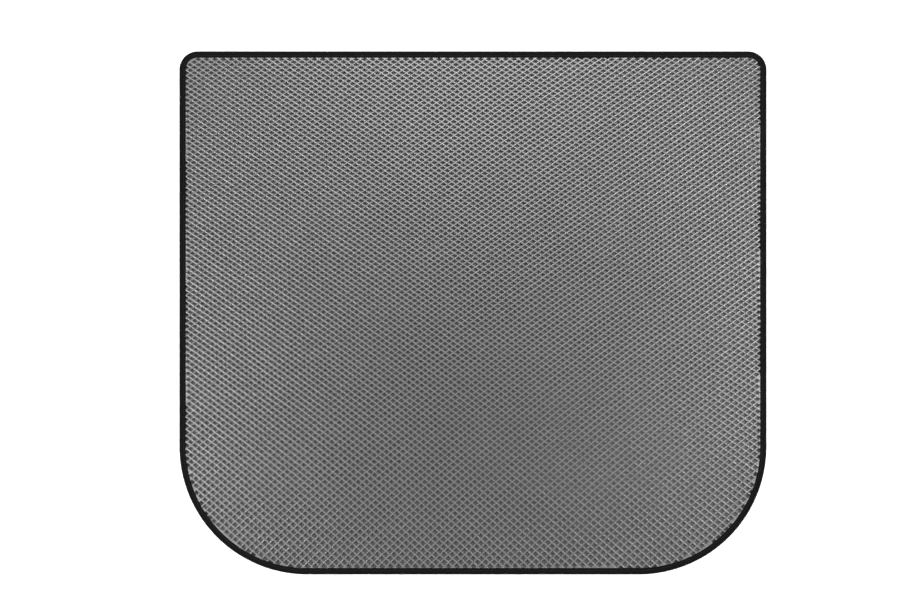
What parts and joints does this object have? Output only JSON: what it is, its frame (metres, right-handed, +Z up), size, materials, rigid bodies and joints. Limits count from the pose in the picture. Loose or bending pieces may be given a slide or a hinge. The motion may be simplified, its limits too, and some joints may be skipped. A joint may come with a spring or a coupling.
{
  "type": "car boot liner",
  "caption": "Flat foam boot liner with a lattice of open diamond cells, two small and two large corner curves, and a folded, sewn edge tape.",
  "frame": {"origin": "on the floor under the middle of the liner", "axes": "+X across the boot, +Y to the end with the two small corner curves, +Z up out of the cells"},
  "size_m": [1.055, 0.94, 0.01],
  "materials": {
    "foam": "matte moulded foam, mid grey",
    "binding_tape": "matte woven tape, near black",
    "sewing_thread": "twisted thread, near black"
  },
  "bodies": {
    "root": {"eva_sheet": "foam", "edge_binding": "binding_tape", "needle_thread": "sewing_thread", "bobbin_thread": "sewing_thread"}
  },
  "joints": []
}
